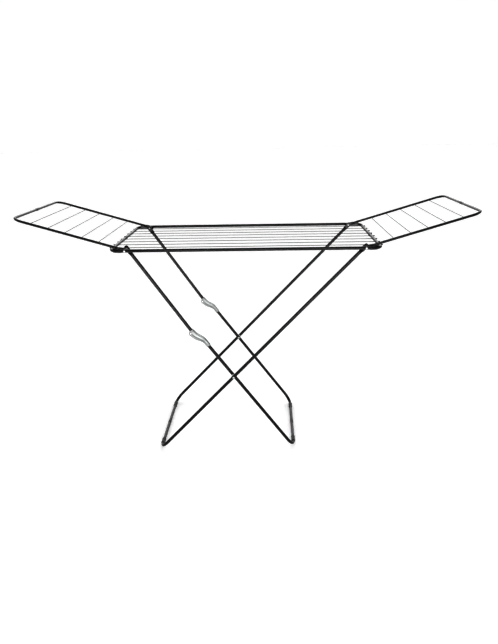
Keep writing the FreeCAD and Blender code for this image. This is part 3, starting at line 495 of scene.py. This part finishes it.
for node, body, tube in (
        ("left_frame_coupler", "frame", FRAME_TUBE),
        ("right_frame_coupler", "frame", FRAME_TUBE),
        ("left_wing_coupler", "left_wing", WING_TUBE),
        ("right_wing_coupler", "right_wing", WING_TUBE),
        ("outer_leg_coupler", "outer_leg", LEG_TUBE),
        ("inner_leg_coupler", "inner_leg_lower", LEG_TUBE)):
    out = tube + SLEEVE_WALL
    outline = both_ways([
        (SLEEVE_HALF, tube), (SLEEVE_HALF, tube + 0.0003), (SLEEVE_HALF - 0.0003, out - 0.0001),
        (SLEEVE_HALF - 0.0008, out), (SLEEVE_HALF - 0.0034, out), (SLEEVE_HALF - 0.0041, out - 0.0004),
        (SLEEVE_HALF - 0.0047, out - 0.0006), (SLEEVE_HALF - 0.0053, out - 0.0004),
        (SLEEVE_HALF - 0.0060, out)])
    centre = sum(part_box(node), Vector()) / 2
    sleeve = turned(node.replace("coupler", "sleeve"), ACROSS, [(centre, outline)], black_enamel)
    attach(sleeve, body)
    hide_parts(node)


# ------------------------------------------------------------------ pivot pins and rivets
# Bright steel rivets: four long ones through rail, wing and leg at the frame's ends,
# one each side where the legs cross, and one each side in the knee.

def metal_material(name, colour, gloss, spangle, depth):
    """Bare or plated steel: faint crystals in the plating and fine drawn marks."""
    mark_scale, dull_scale = 900.0, 120.0
    mark_depth = 0.00008
    material = bpy.data.materials.new(name)
    material.use_nodes = True
    n = Nodes(material.node_tree)
    place = n.add("ShaderNodeTexCoord", output="Object")
    crystal = n.add("ShaderNodeTexVoronoi", {"feature": "F1"},
                    {"Vector": place, "Scale": spangle}, "Color")
    tone = n.add("ShaderNodeSeparateColor", None, {"Color": crystal})
    marks = n.add("ShaderNodeTexNoise", None, {"Vector": place, "Scale": mark_scale, "Detail": 3.0})
    dull = n.add("ShaderNodeTexNoise", None, {"Vector": place, "Scale": dull_scale, "Detail": 3.0})
    dark = [channel * 0.72 for channel in colour]
    plating = n.blend(0.25 + tone * 0.6, (*dark, 1.0), (*colour, 1.0))
    bump = n.add("ShaderNodeBump", None,
                 {"Strength": depth, "Distance": mark_depth, "Height": marks + tone * 0.5})
    shader = n.add("ShaderNodeBsdfPrincipled", None,
                   {"Base Color": plating, "Metallic": 1.0,
                    "Roughness": gloss + dull * 0.16 + tone * 0.05, "Normal": bump})
    n.add("ShaderNodeOutputMaterial", None, {"Surface": shader})
    return material


bright_rivet = metal_material("bright_rivet", (0.44, 0.45, 0.455), gloss=0.20, spangle=900.0,
                              depth=0.10)

PIN = 0.0025
HEAD = 0.0046
HEAD_HEIGHT = 0.0026
PEENED = 0.7
TAB_FACE = TAB_THICK / 2 + 0.00015
LEG_GAP = 0.0003
SHEET = 0.0012


def domed(face, way, radius, height):
    """A domed head from the face that it bears on, listed outwards from that face."""
    steps = ((0.0, 1.0), (0.18, 1.0), (0.42, 0.93), (0.65, 0.78), (0.84, 0.55), (0.96, 0.28),
             (1.0, 0.06))
    return [(face + way * height * rise, radius * share) for rise, share in steps]


def riveted(inner_face, outer_face, radius, head, height, peened):
    """A rivet's outline from its inner end, peened low or domed, to its domed outer head."""
    narrower = 0.88
    inner = [(along, reach * narrower)
             for along, reach in domed(inner_face, -1, head, height * peened)]
    shank = [(inner_face, radius), (outer_face, radius)]
    return inner[::-1] + shank + domed(outer_face, 1, head, height)


def mirrored(outline, side):
    """The same outline, measured from the centre plane to this side."""
    return [(side * along, radius) for along, radius in outline]


for end_name, end in ENDS:
    stack = INNER_SIDE if end < 0 else OUTER_SIDE
    for side_name, side in SIDES:
        node = "pivot_pin_%s_%s" % (side_name, end_name)
        outline = riveted(stack - TAB_FACE, FRAME_RAIL + FRAME_TUBE, PIN, HEAD, HEAD_HEIGHT, PEENED)
        centre = Vector((end * PIN_REACH, 0, FRAME_HEIGHT))
        rivet = turned(node + "_rivet", ACROSS, [(centre, mirrored(outline, side))], bright_rivet)
        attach(rivet, "frame")
        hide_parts(node)

crossing = sum(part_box("crossing_rivets"), Vector()) / 2
SPACER_INNER = INNER_SIDE + LEG_TUBE + LEG_GAP
outer_face = OUTER_SIDE + LEG_TUBE
rivet_outline = [(SPACER_INNER, PIN), (outer_face, PIN)] + domed(outer_face, 1, HEAD, HEAD_HEIGHT)
rivets = turned("crossing_rivet_pair", ACROSS,
                [(crossing, mirrored(rivet_outline, side)) for _, side in SIDES], bright_rivet)
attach(rivets, "outer_leg")
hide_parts("crossing_rivets")

inner_face = INNER_SIDE - LEG_TUBE
cap_outline = (domed(inner_face, -1, HEAD, HEAD_HEIGHT)[::-1]
               + [(inner_face, PIN), (INNER_SIDE + LEG_TUBE, PIN)])
caps = turned("crossing_cap_pair", ACROSS,
              [(crossing, mirrored(cap_outline, side)) for _, side in SIDES], bright_rivet)
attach(caps, "inner_leg_lower")
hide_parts("crossing_caps")

knee_pin = sum(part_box("knee_pins"), Vector()) / 2
KNEE_PIN = 0.0022
KNEE_HEAD = 0.0035
KNEE_HEAD_HEIGHT = 0.00095
TUBE_FIT = 0.00005
YOKE_FACE = LEG_TUBE + TUBE_FIT + 2 * SHEET + LEG_GAP
knee_outline = riveted(INNER_SIDE - YOKE_FACE, INNER_SIDE + YOKE_FACE, KNEE_PIN,
                       KNEE_HEAD, KNEE_HEAD_HEIGHT, 1.0)
knee_rivets = turned("knee_pin_pair", ACROSS,
                     [(knee_pin, mirrored(knee_outline, side)) for _, side in SIDES], bright_rivet)
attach(knee_rivets, "inner_leg_lower")
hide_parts("knee_pins")


# ------------------------------------------------------------------ nylon spacers
# Turned nylon rings that keep rail, wing and legs apart on the pins: black ones at the
# frame's corners, and light grey ones between the legs where they cross.

def plastic_material(name, colour, gloss, grain, depth):
    """Moulded plastic: a fine grain, slight cloudiness, and scuffs near the floor."""
    cloud_scale = 160.0
    scuff_height = 0.0045
    grain_depth = 0.0001
    material = bpy.data.materials.new(name)
    material.use_nodes = True
    n = Nodes(material.node_tree)
    place = n.add("ShaderNodeTexCoord", output="Object")
    height = n.add("ShaderNodeSeparateXYZ", None, {"Vector": place}, "Z")
    fine = n.add("ShaderNodeTexVoronoi", {"feature": "F1"},
                 {"Vector": place, "Scale": grain}, "Distance")
    cloud = n.add("ShaderNodeTexNoise", None, {"Vector": place, "Scale": cloud_scale, "Detail": 4.0})
    scuffed = n.step(height, scuff_height, 0.0) * n.step(cloud, 0.42, 0.62)
    worn = [channel * 1.5 + 0.03 for channel in colour]
    deep = [channel * 0.8 for channel in colour]
    body = n.blend(cloud, (*deep, 1.0), (*colour, 1.0))
    body = n.blend(scuffed, body, (*worn, 1.0))
    bump = n.add("ShaderNodeBump", None, {"Strength": depth, "Distance": grain_depth, "Height": fine})
    shader = n.add("ShaderNodeBsdfPrincipled", None,
                   {"Base Color": body, "Roughness": gloss + cloud * 0.12 + scuffed * 0.2,
                    "Normal": bump})
    n.add("ShaderNodeOutputMaterial", None, {"Surface": shader})
    return material


black_nylon = plastic_material("black_nylon", (0.022, 0.022, 0.024), gloss=0.30, grain=2600.0,
                               depth=0.12)
grey_nylon = plastic_material("grey_nylon", (0.50, 0.52, 0.51), gloss=0.34, grain=2200.0, depth=0.12)


def washer(inner, outer, radius):
    """A ring's outline between two faces, with its edges broken."""
    bore = radius * 0.55
    broken = 0.0005
    return [(inner, bore), (inner, radius - broken), (inner + broken * 0.4, radius - broken * 0.3),
            (inner + broken, radius), (outer - broken, radius),
            (outer - broken * 0.4, radius - broken * 0.3), (outer, radius - broken), (outer, bore)]


SPACER = 0.0055
rings = []
for _, end in ENDS:
    stack = INNER_SIDE if end < 0 else OUTER_SIDE
    centre = Vector((end * PIN_REACH, 0, FRAME_HEIGHT))
    for _, side in SIDES:
        for inner, outer in ((WING_SIDE + TAB_FACE, FRAME_RAIL - FRAME_TUBE),
                             (stack + TAB_FACE, WING_SIDE - TAB_FACE)):
            rings.append((centre, mirrored(washer(inner, outer, SPACER), side)))
spacers = turned("pivot_spacer_set", ACROSS, rings, black_nylon)
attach(spacers, "frame")
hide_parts("pivot_spacers")

CROSSING_SPACER = 0.0085
CROSSING_SIDES = 40
ring = washer(SPACER_INNER, OUTER_SIDE - LEG_TUBE, CROSSING_SPACER)
crossing_spacers = turned("crossing_spacer_pair", ACROSS,
                          [(crossing, mirrored(ring, side)) for _, side in SIDES], grey_nylon,
                          CROSSING_SIDES)
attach(crossing_spacers, "outer_leg")
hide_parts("crossing_spacers")


# ------------------------------------------------------------------ foot sleeves
# Four black moulded sleeves pushed over the foot bars beside the bends.  Each has a
# flat sole with cross grooves, a raised band at both ends and a shallow waist.

black_plastic = plastic_material("black_plastic", (0.016, 0.016, 0.017), gloss=0.38, grain=1700.0,
                                 depth=0.30)

MOULD_EDGE = math.radians(40)


def skinned(name, rings, material):
    """A closed piece from rings of points, each ring joined to the next."""
    shape = bmesh.new()
    rows = [[shape.verts.new(point) for point in ring] for ring in rings]
    for row, following in zip(rows, rows[1:]):
        for i in range(len(row)):
            j = (i + 1) % len(row)
            shape.faces.new((row[i], row[j], following[j], following[i]))
    shape.faces.new(rows[0])
    shape.faces.new(rows[-1])
    bmesh.ops.recalc_face_normals(shape, faces=shape.faces)
    mesh = bpy.data.meshes.new(name)
    shape.to_mesh(mesh)
    shape.free()
    mesh.shade_smooth()
    mesh.set_sharp_from_angle(angle=MOULD_EDGE)
    mesh.materials.append(material)
    piece = bpy.data.objects.new(name, mesh)
    bpy.context.scene.collection.objects.link(piece)
    return piece


FOOT = 0.0086
FOOT_HALF = 0.018
SOLE_HALF = 0.0065
SOLE_EDGE = 0.0006
CROWN_STEPS = 40


def foot_section():
    """The sleeve's side view about the bar's axis, sole down."""
    turn = math.asin(SOLE_HALF / FOOT)
    crown = [-math.pi / 2 + turn + (2 * math.pi - 2 * turn) * i / CROWN_STEPS
             for i in range(CROWN_STEPS + 1)]
    points = [(FOOT * math.cos(angle), FOOT * math.sin(angle)) for angle in crown]
    return points + [(-SOLE_HALF, -FOOT_HEIGHT + SOLE_EDGE), (-SOLE_HALF + SOLE_EDGE, -FOOT_HEIGHT),
                     (-SOLE_HALF / 3, -FOOT_HEIGHT), (SOLE_HALF / 3, -FOOT_HEIGHT),
                     (SOLE_HALF - SOLE_EDGE, -FOOT_HEIGHT), (SOLE_HALF, -FOOT_HEIGHT + SOLE_EDGE)]


# One half of the sleeve from its end to its middle: place along the bar, and how deep it is cut.
foot_ends = [(0.0180, 0.0021), (0.0180, 0.0010), (0.0177, 0.0004), (0.0171, 0.0001), (0.0165, 0.0),
             (0.0138, 0.0), (0.0133, 0.0003), (0.0128, 0.0006), (0.0110, 0.0006), (0.0105, 0.0010),
             (0.0095, 0.0010), (0.0090, 0.0006), (0.0060, 0.0006), (0.0055, 0.0010), (0.0045, 0.0010),
             (0.0040, 0.0006), (0.0008, 0.0006), (0.0004, 0.0010)]

for leg, body, foot, half_width in (("outer_leg", "outer_leg", OUTER_FOOT, OUTER_SIDE),
                                    ("inner_leg", "inner_leg_lower", INNER_FOOT, INNER_SIDE)):
    for side_name, side in SIDES:
        centre = foot + ACROSS * side * (half_width - LEG_BEND - FOOT_HALF)
        stations = [(-along, inset) for along, inset in foot_ends] + foot_ends[::-1]
        rings = [[centre + Vector((x * (1 - inset / FOOT), along, z * (1 - inset / FOOT)))
                  for x, z in foot_section()] for along, inset in stations]
        sleeve = skinned("%s_%s_sleeve" % (leg, side_name), rings, black_plastic)
        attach(sleeve, body)
        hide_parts("%s_%s_foot" % (leg, side_name))


# ------------------------------------------------------------------ wing rests
# Black moulded wedges inside the corners of the centre frame.  Each cups the rail, and
# an open wing lies on it.  Their mould edges are soft all round.

WELD = 0.00001


def softened(name, node, voxel, rounds):
    """A moulded copy of a solid: its skin is made anew and its edges are rubbed soft."""
    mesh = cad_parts[node].data.copy()
    shape = bmesh.new()
    shape.from_mesh(mesh)
    bmesh.ops.remove_doubles(shape, verts=shape.verts, dist=WELD)
    shape.to_mesh(mesh)
    shape.free()
    piece = bpy.data.objects.new(name, mesh)
    bpy.context.scene.collection.objects.link(piece)
    skin = piece.modifiers.new("skin", "REMESH")
    skin.mode = "VOXEL"
    skin.voxel_size = voxel
    rub = piece.modifiers.new("rub", "SMOOTH")
    rub.factor = 0.5
    rub.iterations = rounds
    thin = piece.modifiers.new("thin", "DECIMATE")
    thin.ratio = 0.4
    ready = piece.evaluated_get(bpy.context.evaluated_depsgraph_get())
    result = bpy.data.meshes.new_from_object(ready)
    piece.modifiers.clear()
    piece.data = result
    result.shade_smooth()
    return piece


for end_name, _ in ENDS:
    for side_name, _ in SIDES:
        node = "wing_rest_%s_%s" % (side_name, end_name)
        rest = softened(node + "_saddle", node, voxel=0.0005, rounds=3)
        rest.data.materials.clear()
        rest.data.materials.append(black_plastic)
        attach(rest, "frame")
        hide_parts(node)


# ------------------------------------------------------------------ knee brackets
# A small channel of zinc plated sheet, pressed round the lower end of each upper tube.
# Its two ears hang under the tube and carry the knee pin.

zinc_sheet = metal_material("zinc_sheet", (0.205, 0.212, 0.209), gloss=0.34, spangle=260.0,
                            depth=0.22)

BRACKET_EDGE = 0.00035
NEARLY_FLAT = math.radians(2)

for side_name, _ in SIDES:
    node = "knee_bracket_" + side_name
    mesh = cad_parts[node].data.copy()
    shape = bmesh.new()
    shape.from_mesh(mesh)
    bmesh.ops.remove_doubles(shape, verts=shape.verts, dist=WELD)
    bmesh.ops.dissolve_limit(shape, angle_limit=NEARLY_FLAT, verts=shape.verts, edges=shape.edges)
    shape.to_mesh(mesh)
    shape.free()
    bracket = bpy.data.objects.new(node + "_channel", mesh)
    bpy.context.scene.collection.objects.link(bracket)
    edge = bracket.modifiers.new("edge", "BEVEL")
    edge.width = BRACKET_EDGE
    edge.segments = 3
    edge.limit_method = "ANGLE"
    edge.angle_limit = math.radians(50)
    mesh.materials.clear()
    mesh.materials.append(zinc_sheet)
    mesh.shade_smooth()
    mesh.set_sharp_from_angle(angle=MOULD_EDGE)
    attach(bracket, "inner_leg_upper")
    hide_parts(node)


# ------------------------------------------------------------------ knee yokes
# A longer swan-necked channel, pressed from 1.2 mm sheet and zinc plated.  It grips the
# lower tube and straddles the bracket, and a bead down both cheeks stiffens it.

YOKE_LEAD = 0.005
YOKE_WIDE = 0.00925
YOKE_NARROW = 0.00785
YOKE_CORNER = 0.0020
YOKE_EDGE = 0.0003
NARROWS_FROM = 0.040
NARROWS_OVER = 0.022
BEAD_RISE = 0.0008
BEAD_PLACE = 0.62
BEAD_WIDTH = 0.15
BEAD_START = -0.001
BEAD_END = 0.078
BEAD_FADE = 0.010
STATIONS = 60
CHEEK_STEPS = 14
CORNER_STEPS = 5
BACK_STEPS = 4


def through(knots, place):
    """A smooth line through knots (place, height), read at a place."""
    for (x0, y0), (x1, y1) in zip(knots, knots[1:]):
        if place <= x1:
            break
    index = knots.index((x0, y0))
    before = knots[max(index - 1, 0)]
    after = knots[min(index + 2, len(knots) - 1)]
    t = max(0.0, min(1.0, (place - x0) / (x1 - x0)))
    slope_in = (y1 - before[1]) / (x1 - before[0]) * (x1 - x0)
    slope_out = (after[1] - y0) / (after[0] - x0) * (x1 - x0)
    return ((2 * t ** 3 - 3 * t ** 2 + 1) * y0 + (t ** 3 - 2 * t ** 2 + t) * slope_in
            + (3 * t ** 2 - 2 * t ** 3) * y1 + (t ** 3 - t ** 2) * slope_out)


# Heights over the lower tube's line of the channel's back and of its open lips.
yoke_back = [(-0.005, -0.0067), (0.006, -0.0064), (0.018, -0.0038), (0.030, 0.0014),
             (0.042, 0.0061), (0.053, 0.0083), (0.064, 0.0082), (0.084, 0.0078)]
yoke_lip = [(-0.005, -0.0286), (-0.0025, -0.0303), (0.000, -0.0306), (0.004, -0.0304),
            (0.016, -0.0277), (0.029, -0.0229), (0.043, -0.0144), (0.054, -0.0086),
            (0.062, -0.0067), (0.084, -0.0065)]


def yoke_row(place):
    """One row across the channel: up a cheek, over the back and down the other cheek."""
    back = through(yoke_back, place)
    lip = through(yoke_lip, place)
    narrowing = max(0.0, min(1.0, (place - NARROWS_FROM) / NARROWS_OVER))
    half = YOKE_WIDE + (YOKE_NARROW - YOKE_WIDE) * narrowing * narrowing * (3 - 2 * narrowing)
    fade = min(1.0, max(0.0, (place - BEAD_START) / BEAD_FADE),
               max(0.0, (BEAD_END - place) / BEAD_FADE))
    cheek = []
    for i in range(CHEEK_STEPS + 1):
        share = i / CHEEK_STEPS
        height = lip + (back - YOKE_CORNER - lip) * share
        bead = math.exp(-((share - BEAD_PLACE) / BEAD_WIDTH) ** 2) * BEAD_RISE * fade
        cheek.append((half + bead, height))
    reach = half - YOKE_CORNER
    turns = [math.pi / 2 * i / CORNER_STEPS for i in range(1, CORNER_STEPS + 1)]
    corner = [(reach + YOKE_CORNER * math.cos(turn), back - YOKE_CORNER + YOKE_CORNER * math.sin(turn))
              for turn in turns]
    top = [(reach - 2 * reach * i / BACK_STEPS, back) for i in range(1, BACK_STEPS)]
    right = cheek + corner
    return right + top + [(-y, v) for y, v in reversed(right)]


for side_name, side in SIDES:
    places = [-YOKE_LEAD + (YOKE_LENGTH + YOKE_LEAD) * i / STATIONS for i in range(STATIONS + 1)]
    shape = bmesh.new()
    rows = [[shape.verts.new(lower_at(place, side * INNER_SIDE + y, v)) for y, v in yoke_row(place)]
            for place in places]
    for row, following in zip(rows, rows[1:]):
        for i in range(len(row) - 1):
            shape.faces.new((row[i], row[i + 1], following[i + 1], following[i]))
    bmesh.ops.recalc_face_normals(shape, faces=shape.faces)
    middle = rows[STATIONS // 2][len(rows[0]) // 2]
    if middle.normal.dot(lower_at(0, 0, 1) - lower_at(0, 0, 0)) < 0:
        bmesh.ops.reverse_faces(shape, faces=shape.faces)
    mesh = bpy.data.meshes.new("knee_yoke")
    shape.to_mesh(mesh)
    shape.free()
    mesh.shade_smooth()
    mesh.materials.append(zinc_sheet)
    yoke = bpy.data.objects.new("knee_yoke_%s_channel" % side_name, mesh)
    bpy.context.scene.collection.objects.link(yoke)
    wall = yoke.modifiers.new("wall", "SOLIDIFY")
    wall.thickness = SHEET
    wall.offset = -1.0
    edge = yoke.modifiers.new("edge", "BEVEL")
    edge.width = YOKE_EDGE
    edge.segments = 2
    edge.limit_method = "ANGLE"
    edge.angle_limit = math.radians(60)
    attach(yoke, "inner_leg_lower")
    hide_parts("knee_yoke_" + side_name)


# ------------------------------------------------------------------ floor, light and camera
# A wide white floor that runs into an even white surround, one large soft panel on the
# viewer's side, and a camera a little above and in front of the airer.

FLOOR_REACH = 30
FLOOR_GLOW = 0.31
floor_corners = [(FLOOR_REACH * x, FLOOR_REACH * y, 0)
                 for x, y in ((-1, -1), (1, -1), (1, 1), (-1, 1))]
floor_mesh = bpy.data.meshes.new("floor")
floor_mesh.from_pydata(floor_corners, [], [(0, 1, 2, 3)])
floor = bpy.data.objects.new("floor", floor_mesh)
bpy.context.scene.collection.objects.link(floor)
floor_material = bpy.data.materials.new("white_floor")
floor_material.use_nodes = True
n = Nodes(floor_material.node_tree)
place = n.add("ShaderNodeTexCoord", output="Object")
mottle = n.add("ShaderNodeTexNoise", None, {"Vector": place, "Scale": 3.0, "Detail": 3.0})
pale = n.blend(mottle, (0.86, 0.86, 0.86, 1.0), (0.90, 0.90, 0.90, 1.0))
shader = n.add("ShaderNodeBsdfPrincipled", None,
               {"Base Color": pale, "Roughness": 0.9, "Specular IOR Level": 0.0,
                "Emission Color": (1.0, 1.0, 1.0, 1.0), "Emission Strength": FLOOR_GLOW})
n.add("ShaderNodeOutputMaterial", None, {"Surface": shader})
floor_mesh.materials.append(floor_material)

CEILING_LIGHT = 0.20
SURROUND_LIGHT = 0.81
BACKDROP_LIGHT = 3.6
world = bpy.data.worlds.new("studio")
bpy.context.scene.world = world
world.use_nodes = True
n = Nodes(world.node_tree)
way = n.add("ShaderNodeTexCoord", output="Generated")
aside = n.math("ABSOLUTE", n.add("ShaderNodeSeparateXYZ", None, {"Vector": way}, "X"))
behind = n.add("ShaderNodeSeparateXYZ", None, {"Vector": way}, "Y")
rise = n.add("ShaderNodeSeparateXYZ", None, {"Vector": way}, "Z")
# Each patch of light is a step on one part of the direction, from its dark to its full side.
horizon = n.step(rise, 0.60, 0.34)
backdrop = n.step(aside, 0.66, 0.44) * n.step(behind, 0.0, 0.3) * n.step(rise, 0.84, 0.64)
strength = (CEILING_LIGHT + horizon * SURROUND_LIGHT
            + backdrop * n.step(rise, 0.19, 0.32) * BACKDROP_LIGHT)
surround = n.add("ShaderNodeBackground", None, {"Color": (1.0, 1.0, 1.0, 1.0), "Strength": strength})
n.add("ShaderNodeOutputWorld", None, {"Surface": surround})

PANEL_WIDTH = 2.6
PANEL_HEIGHT = 0.5
PANEL_POWER = 150.0
PANEL_PLACE = Vector((0.1, -3.6, 0.55))
PANEL_AIM = Vector((0, 0, 0.5))
panel_light = bpy.data.lights.new("front_panel", "AREA")
panel_light.shape = "RECTANGLE"
panel_light.size = PANEL_WIDTH
panel_light.size_y = PANEL_HEIGHT
panel_light.energy = PANEL_POWER
panel = bpy.data.objects.new("front_panel", panel_light)
bpy.context.scene.collection.objects.link(panel)
panel_turn = (PANEL_AIM - PANEL_PLACE).to_track_quat("-Z", "Y").to_matrix().to_4x4()
panel.matrix_world = Matrix.Translation(PANEL_PLACE) @ panel_turn

CAMERA_PLACE = Vector((0.0880, -2.3147, 1.3230))
CAMERA_TURN = 0.0375
CAMERA_DIP = 0.341
CAMERA_ROLL = -0.0207
FOCAL_LENGTH = 31.33
SENSOR_WIDTH = 36.0
CONTRAST = 0.66
ahead = Vector((-math.sin(CAMERA_TURN) * math.cos(CAMERA_DIP),
                math.cos(CAMERA_TURN) * math.cos(CAMERA_DIP), -math.sin(CAMERA_DIP)))
level = Vector((math.cos(CAMERA_TURN), math.sin(CAMERA_TURN), 0))
upright = level.cross(ahead)
right = level * math.cos(CAMERA_ROLL) + upright * math.sin(CAMERA_ROLL)
up = upright * math.cos(CAMERA_ROLL) - level * math.sin(CAMERA_ROLL)
camera_data = bpy.data.cameras.new("camera")
camera_data.lens = FOCAL_LENGTH
camera_data.sensor_width = SENSOR_WIDTH
camera = bpy.data.objects.new("camera", camera_data)
bpy.context.scene.collection.objects.link(camera)
camera_turn = Matrix((right, up, -ahead)).transposed().to_4x4()
camera.matrix_world = Matrix.Translation(CAMERA_PLACE) @ camera_turn
bpy.context.scene.camera = camera
bpy.context.scene.view_settings.view_transform = "Standard"
bpy.context.scene.view_settings.gamma = CONTRAST
